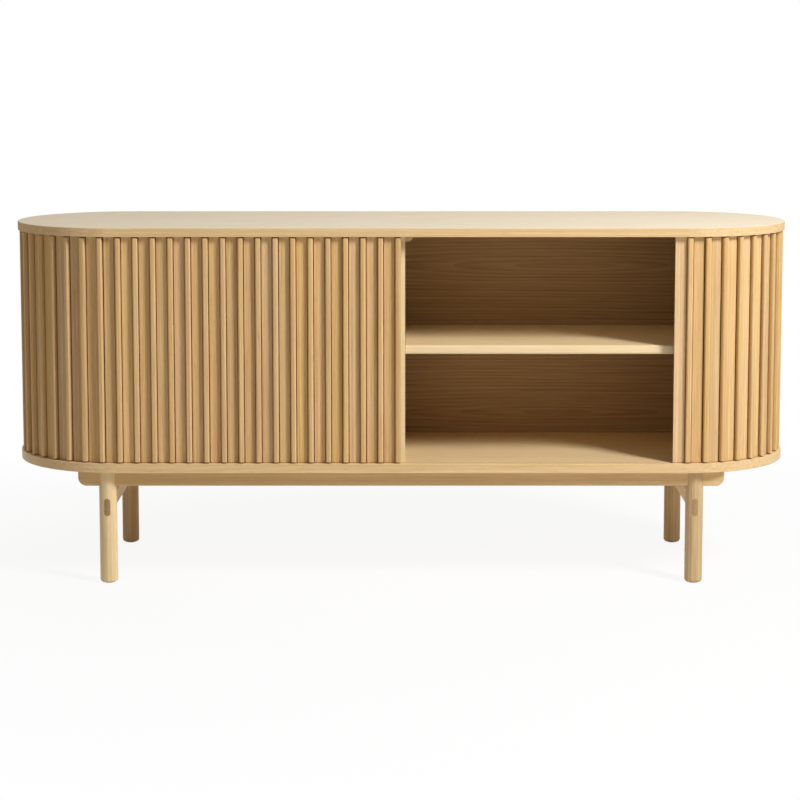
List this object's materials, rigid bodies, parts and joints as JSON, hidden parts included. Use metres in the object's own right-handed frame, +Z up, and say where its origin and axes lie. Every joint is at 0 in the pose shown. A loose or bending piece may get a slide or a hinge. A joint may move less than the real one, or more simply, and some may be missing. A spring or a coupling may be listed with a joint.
{
  "type": "tambour door cabinet",
  "caption": "Low oak cabinet with rounded ends, ribbed tambour doors that slide round them to the back, inner shelves, and round legs joined by through-tenoned rails.",
  "frame": {"origin": "on the floor, at the middle of the footprint", "axes": "+X to the right seen from the front, +Y towards the back, +Z up"},
  "size_m": [1.5996, 0.45, 0.729],
  "materials": {
    "oak_board": "oak veneer with a matt clear coat",
    "oak_solid": "solid oak with a matt clear coat",
    "oak_slat": "solid oak with a matt clear coat",
    "canvas": "plain woven cloth, glued",
    "steel": "zinc plated",
    "glide": "matt"
  },
  "bodies": {
    "cabinet": {"back_panel": "oak_board", "base_screws": "steel", "bottom_board": "oak_board", "centre_partition": "oak_board", "foot_glides": "glide", "front_left_leg": "oak_solid", "front_rail": "oak_solid", "front_right_leg": "oak_solid", "left_cross_rail": "oak_solid", "left_end_panel": "oak_board", "left_shelf": "oak_board", "rear_left_leg": "oak_solid", "rear_rail": "oak_solid", "rear_right_leg": "oak_solid", "right_cross_rail": "oak_solid", "right_end_panel": "oak_board", "right_shelf": "oak_board", "shelf_pins": "steel", "stop_blocks": "oak_solid", "top_board": "oak_board"},
    "right_door_lead": {"right_door_lead_strip": "oak_slat"},
    "right_door_slat_01": {"right_door_slat_01": "oak_slat"},
    "right_door_slat_02": {"right_door_slat_02": "oak_slat"},
    "right_door_slat_03": {"right_door_slat_03": "oak_slat"},
    "right_door_slat_04": {"right_door_slat_04": "oak_slat"},
    "right_door_slat_05": {"right_door_slat_05": "oak_slat"},
    "right_door_slat_06": {"right_door_slat_06": "oak_slat"},
    "right_door_slat_07": {"right_door_slat_07": "oak_slat"},
    "right_door_slat_08": {"right_door_slat_08": "oak_slat"},
    "right_door_slat_09": {"right_door_slat_09": "oak_slat"},
    "right_door_slat_10": {"right_door_slat_10": "oak_slat"},
    "right_door_slat_11": {"right_door_slat_11": "oak_slat"},
    "right_door_slat_12": {"right_door_slat_12": "oak_slat"},
    "right_door_slat_13": {"right_door_slat_13": "oak_slat"},
    "right_door_slat_14": {"right_door_slat_14": "oak_slat"},
    "right_door_slat_15": {"right_door_slat_15": "oak_slat"},
    "right_door_slat_16": {"right_door_slat_16": "oak_slat"},
    "right_door_turning_slats": {"right_door_turning_slats": "oak_slat"},
    "right_door_tail_slats_1": {"right_door_tail_slats_1": "oak_slat"},
    "right_door_tail_slats_2": {"right_door_tail_slats_2": "oak_slat"},
    "right_door_tail_slats_3": {"right_door_tail_slats_3": "oak_slat"},
    "right_door_tail_slats_4": {"right_door_tail_slats_4": "oak_slat"},
    "right_door_tail_slats_5": {"right_door_tail_slats_5": "oak_slat"},
    "right_door_tail_slats_6": {"right_door_tail_slats_6": "oak_slat"},
    "right_door_tail_slats_7": {"right_door_tail_slats_7": "oak_slat"},
    "left_door_lead": {"left_door_lead_slat": "oak_slat"},
    "left_door_slats_1": {"left_door_slats_1": "oak_slat"},
    "left_door_slats_2": {"left_door_slats_2": "oak_slat"},
    "left_door_slats_3": {"left_door_slats_3": "oak_slat"},
    "left_door_slats_4": {"left_door_slats_4": "oak_slat"},
    "left_door_slats_5": {"left_door_slats_5": "oak_slat"},
    "left_door_slats_6": {"left_door_slats_6": "oak_slat"},
    "left_door_slats_7": {"left_door_slats_7": "oak_slat"},
    "left_door_slats_8": {"left_door_slats_8": "oak_slat"},
    "left_door_turning_slats": {"left_door_turning_slats": "oak_slat"},
    "left_door_tail_slats_1": {"left_door_tail_slats_1": "oak_slat"},
    "left_door_tail_slats_2": {"left_door_tail_slats_2": "oak_slat"},
    "left_door_tail_slats_3": {"left_door_tail_slats_3": "oak_slat"},
    "left_door_tail_slats_4": {"left_door_tail_slats_4": "oak_slat"},
    "left_door_tail_slats_5": {"left_door_tail_slats_5": "oak_slat"}
  },
  "joints": [
    {"name": "right_door_slide", "type": "slide", "parent": "cabinet", "child": "right_door_lead", "axis": [-1, 0, 0], "range_m": [0, 0.54925]},
    {"name": "right_door_slat_01_turn", "type": "hinge", "parent": "cabinet", "child": "right_door_slat_01", "pos_m": [0.30836, 6.93999, 0.251], "axis": [0, 0, 1], "range_deg": [-4.4, 0]},
    {"name": "right_door_slat_02_turn", "type": "hinge", "parent": "cabinet", "child": "right_door_slat_02", "pos_m": [0.32594, 2.01638, 0.251], "axis": [0, 0, 1], "range_deg": [-14.08, 0]},
    {"name": "right_door_slat_03_turn", "type": "hinge", "parent": "cabinet", "child": "right_door_slat_03", "pos_m": [0.34351, 1.10013, 0.251], "axis": [0, 0, 1], "range_deg": [-23.77, 0]},
    {"name": "right_door_slat_04_turn", "type": "hinge", "parent": "cabinet", "child": "right_door_slat_04", "pos_m": [0.36109, 0.71193, 0.251], "axis": [0, 0, 1], "range_deg": [-33.45, 0]},
    {"name": "right_door_slat_05_turn", "type": "hinge", "parent": "cabinet", "child": "right_door_slat_05", "pos_m": [0.37866, 0.49678, 0.251], "axis": [0, 0, 1], "range_deg": [-43.13, 0]},
    {"name": "right_door_slat_06_turn", "type": "hinge", "parent": "cabinet", "child": "right_door_slat_06", "pos_m": [0.39624, 0.36001, 0.251], "axis": [0, 0, 1], "range_deg": [-52.81, 0]},
    {"name": "right_door_slat_07_turn", "type": "hinge", "parent": "cabinet", "child": "right_door_slat_07", "pos_m": [0.41381, 0.26565, 0.251], "axis": [0, 0, 1], "range_deg": [-62.5, 0]},
    {"name": "right_door_slat_08_turn", "type": "hinge", "parent": "cabinet", "child": "right_door_slat_08", "pos_m": [0.43139, 0.19702, 0.251], "axis": [0, 0, 1], "range_deg": [-72.18, 0]},
    {"name": "right_door_slat_09_turn", "type": "hinge", "parent": "cabinet", "child": "right_door_slat_09", "pos_m": [0.44896, 0.14535, 0.251], "axis": [0, 0, 1], "range_deg": [-81.86, 0]},
    {"name": "right_door_slat_10_turn", "type": "hinge", "parent": "cabinet", "child": "right_door_slat_10", "pos_m": [0.46654, 0.10558, 0.251], "axis": [0, 0, 1], "range_deg": [-91.54, 0]},
    {"name": "right_door_slat_11_turn", "type": "hinge", "parent": "cabinet", "child": "right_door_slat_11", "pos_m": [0.48411, 0.07462, 0.251], "axis": [0, 0, 1], "range_deg": [-101.23, 0]},
    {"name": "right_door_slat_12_turn", "type": "hinge", "parent": "cabinet", "child": "right_door_slat_12", "pos_m": [0.50169, 0.05047, 0.251], "axis": [0, 0, 1], "range_deg": [-110.91, 0]},
    {"name": "right_door_slat_13_turn", "type": "hinge", "parent": "cabinet", "child": "right_door_slat_13", "pos_m": [0.51926, 0.0318, 0.251], "axis": [0, 0, 1], "range_deg": [-120.59, 0]},
    {"name": "right_door_slat_14_turn", "type": "hinge", "parent": "cabinet", "child": "right_door_slat_14", "pos_m": [0.53684, 0.01768, 0.251], "axis": [0, 0, 1], "range_deg": [-130.27, 0]},
    {"name": "right_door_slat_15_turn", "type": "hinge", "parent": "cabinet", "child": "right_door_slat_15", "pos_m": [0.55441, 0.0075, 0.251], "axis": [0, 0, 1], "range_deg": [-139.95, 0]},
    {"name": "right_door_slat_16_turn", "type": "hinge", "parent": "cabinet", "child": "right_door_slat_16", "pos_m": [0.57199, 0.00082, 0.251], "axis": [0, 0, 1], "range_deg": [-149.64, 0]},
    {"name": "right_door_turning_slats_turn", "type": "hinge", "parent": "cabinet", "child": "right_door_turning_slats", "pos_m": [0.575, 0, 0.251], "axis": [0, 0, 1], "range_deg": [-151.3, 0]},
    {"name": "right_door_tail_slats_1_turn", "type": "hinge", "parent": "cabinet", "child": "right_door_tail_slats_1", "pos_m": [0.56187, -0.00347, 0.251], "axis": [0, 0, 1], "range_deg": [-144.19, 0]},
    {"name": "right_door_tail_slats_2_turn", "type": "hinge", "parent": "cabinet", "child": "right_door_tail_slats_2", "pos_m": [0.52658, -0.02441, 0.251], "axis": [0, 0, 1], "range_deg": [-124.83, 0]},
    {"name": "right_door_tail_slats_3_turn", "type": "hinge", "parent": "cabinet", "child": "right_door_tail_slats_3", "pos_m": [0.49127, -0.06261, 0.251], "axis": [0, 0, 1], "range_deg": [-105.46, 0]},
    {"name": "right_door_tail_slats_4_turn", "type": "hinge", "parent": "cabinet", "child": "right_door_tail_slats_4", "pos_m": [0.4559, -0.126, 0.251], "axis": [0, 0, 1], "range_deg": [-86.1, 0]},
    {"name": "right_door_tail_slats_5_turn", "type": "hinge", "parent": "cabinet", "child": "right_door_tail_slats_5", "pos_m": [0.42044, -0.2324, 0.251], "axis": [0, 0, 1], "range_deg": [-66.73, 0]},
    {"name": "right_door_tail_slats_6_turn", "type": "hinge", "parent": "cabinet", "child": "right_door_tail_slats_6", "pos_m": [0.37332, -0.50574, 0.251], "axis": [0, 0, 1], "range_deg": [-42.52, 0]},
    {"name": "right_door_tail_slats_7_turn", "type": "hinge", "parent": "cabinet", "child": "right_door_tail_slats_7", "pos_m": [0.31087, -2.11562, 0.251], "axis": [0, 0, 1], "range_deg": [-13.48, 0]},
    {"name": "left_door_slide", "type": "slide", "parent": "cabinet", "child": "left_door_lead", "axis": [-1, 0, 0], "range_m": [0, 0.54925]},
    {"name": "left_door_slats_1_turn", "type": "hinge", "parent": "cabinet", "child": "left_door_slats_1", "pos_m": [-0.31614, 2.34668, 0.251], "axis": [0, 0, 1], "range_deg": [-12.27, 0]},
    {"name": "left_door_slats_2_turn", "type": "hinge", "parent": "cabinet", "child": "left_door_slats_2", "pos_m": [-0.35533, 0.76593, 0.251], "axis": [0, 0, 1], "range_deg": [-31.64, 0]},
    {"name": "left_door_slats_3_turn", "type": "hinge", "parent": "cabinet", "child": "left_door_slats_3", "pos_m": [-0.39148, 0.38096, 0.251], "axis": [0, 0, 1], "range_deg": [-51, 0]},
    {"name": "left_door_slats_4_turn", "type": "hinge", "parent": "cabinet", "child": "left_door_slats_4", "pos_m": [-0.42711, 0.20767, 0.251], "axis": [0, 0, 1], "range_deg": [-70.37, 0]},
    {"name": "left_door_slats_5_turn", "type": "hinge", "parent": "cabinet", "child": "left_door_slats_5", "pos_m": [-0.46255, 0.11157, 0.251], "axis": [0, 0, 1], "range_deg": [-89.73, 0]},
    {"name": "left_door_slats_6_turn", "type": "hinge", "parent": "cabinet", "child": "left_door_slats_6", "pos_m": [-0.4979, 0.05384, 0.251], "axis": [0, 0, 1], "range_deg": [-109.1, 0]},
    {"name": "left_door_slats_7_turn", "type": "hinge", "parent": "cabinet", "child": "left_door_slats_7", "pos_m": [-0.53321, 0.01931, 0.251], "axis": [0, 0, 1], "range_deg": [-128.46, 0]},
    {"name": "left_door_slats_8_turn", "type": "hinge", "parent": "cabinet", "child": "left_door_slats_8", "pos_m": [-0.5685, 0.00112, 0.251], "axis": [0, 0, 1], "range_deg": [-147.83, 0]},
    {"name": "left_door_turning_slats_turn", "type": "hinge", "parent": "cabinet", "child": "left_door_turning_slats", "pos_m": [-0.575, 0, 0.251], "axis": [0, 0, 1], "range_deg": [-151.3, 0]},
    {"name": "left_door_tail_slats_1_turn", "type": "hinge", "parent": "cabinet", "child": "left_door_tail_slats_1", "pos_m": [-0.54731, -0.00965, 0.251], "axis": [0, 0, 1], "range_deg": [-136.32, 0]},
    {"name": "left_door_tail_slats_2_turn", "type": "hinge", "parent": "cabinet", "child": "left_door_tail_slats_2", "pos_m": [-0.49417, -0.05759, 0.251], "axis": [0, 0, 1], "range_deg": [-107.27, 0]},
    {"name": "left_door_tail_slats_3_turn", "type": "hinge", "parent": "cabinet", "child": "left_door_tail_slats_3", "pos_m": [-0.44083, -0.16189, 0.251], "axis": [0, 0, 1], "range_deg": [-78.22, 0]},
    {"name": "left_door_tail_slats_4_turn", "type": "hinge", "parent": "cabinet", "child": "left_door_tail_slats_4", "pos_m": [-0.38691, -0.40383, 0.251], "axis": [0, 0, 1], "range_deg": [-49.18, 0]},
    {"name": "left_door_tail_slats_5_turn", "type": "hinge", "parent": "cabinet", "child": "left_door_tail_slats_5", "pos_m": [-0.32987, -1.34016, 0.251], "axis": [0, 0, 1], "range_deg": [-20.13, 0]}
  ],
  "couplings": [
    {"joint": "right_door_slat_01_turn", "follows": "right_door_slide", "rad_per_m": -0.13983},
    {"joint": "right_door_slat_02_turn", "follows": "right_door_slide", "rad_per_m": -0.44751},
    {"joint": "right_door_slat_03_turn", "follows": "right_door_slide", "rad_per_m": -0.75518},
    {"joint": "right_door_slat_04_turn", "follows": "right_door_slide", "rad_per_m": -1.0629},
    {"joint": "right_door_slat_05_turn", "follows": "right_door_slide", "rad_per_m": -1.3705},
    {"joint": "right_door_slat_06_turn", "follows": "right_door_slide", "rad_per_m": -1.6782},
    {"joint": "right_door_slat_07_turn", "follows": "right_door_slide", "rad_per_m": -1.9859},
    {"joint": "right_door_slat_08_turn", "follows": "right_door_slide", "rad_per_m": -2.2936},
    {"joint": "right_door_slat_09_turn", "follows": "right_door_slide", "rad_per_m": -2.6012},
    {"joint": "right_door_slat_10_turn", "follows": "right_door_slide", "rad_per_m": -2.9089},
    {"joint": "right_door_slat_11_turn", "follows": "right_door_slide", "rad_per_m": -3.2166},
    {"joint": "right_door_slat_12_turn", "follows": "right_door_slide", "rad_per_m": -3.5243},
    {"joint": "right_door_slat_13_turn", "follows": "right_door_slide", "rad_per_m": -3.8319},
    {"joint": "right_door_slat_14_turn", "follows": "right_door_slide", "rad_per_m": -4.1396},
    {"joint": "right_door_slat_15_turn", "follows": "right_door_slide", "rad_per_m": -4.4473},
    {"joint": "right_door_slat_16_turn", "follows": "right_door_slide", "rad_per_m": -4.755},
    {"joint": "right_door_turning_slats_turn", "follows": "right_door_slide", "rad_per_m": -4.8077},
    {"joint": "right_door_tail_slats_1_turn", "follows": "right_door_slide", "rad_per_m": -4.5819},
    {"joint": "right_door_tail_slats_2_turn", "follows": "right_door_slide", "rad_per_m": -3.9665},
    {"joint": "right_door_tail_slats_3_turn", "follows": "right_door_slide", "rad_per_m": -3.3512},
    {"joint": "right_door_tail_slats_4_turn", "follows": "right_door_slide", "rad_per_m": -2.7358},
    {"joint": "right_door_tail_slats_5_turn", "follows": "right_door_slide", "rad_per_m": -2.1205},
    {"joint": "right_door_tail_slats_6_turn", "follows": "right_door_slide", "rad_per_m": -1.3513},
    {"joint": "right_door_tail_slats_7_turn", "follows": "right_door_slide", "rad_per_m": -0.42825},
    {"joint": "left_door_slats_1_turn", "follows": "left_door_slide", "rad_per_m": -0.38995},
    {"joint": "left_door_slats_2_turn", "follows": "left_door_slide", "rad_per_m": -1.0053},
    {"joint": "left_door_slats_3_turn", "follows": "left_door_slide", "rad_per_m": -1.6207},
    {"joint": "left_door_slats_4_turn", "follows": "left_door_slide", "rad_per_m": -2.236},
    {"joint": "left_door_slats_5_turn", "follows": "left_door_slide", "rad_per_m": -2.8514},
    {"joint": "left_door_slats_6_turn", "follows": "left_door_slide", "rad_per_m": -3.4667},
    {"joint": "left_door_slats_7_turn", "follows": "left_door_slide", "rad_per_m": -4.0821},
    {"joint": "left_door_slats_8_turn", "follows": "left_door_slide", "rad_per_m": -4.6974},
    {"joint": "left_door_turning_slats_turn", "follows": "left_door_slide", "rad_per_m": -4.8077},
    {"joint": "left_door_tail_slats_1_turn", "follows": "left_door_slide", "rad_per_m": -4.3317},
    {"joint": "left_door_tail_slats_2_turn", "follows": "left_door_slide", "rad_per_m": -3.4087},
    {"joint": "left_door_tail_slats_3_turn", "follows": "left_door_slide", "rad_per_m": -2.4857},
    {"joint": "left_door_tail_slats_4_turn", "follows": "left_door_slide", "rad_per_m": -1.5627},
    {"joint": "left_door_tail_slats_5_turn", "follows": "left_door_slide", "rad_per_m": -0.63964}
  ]
}
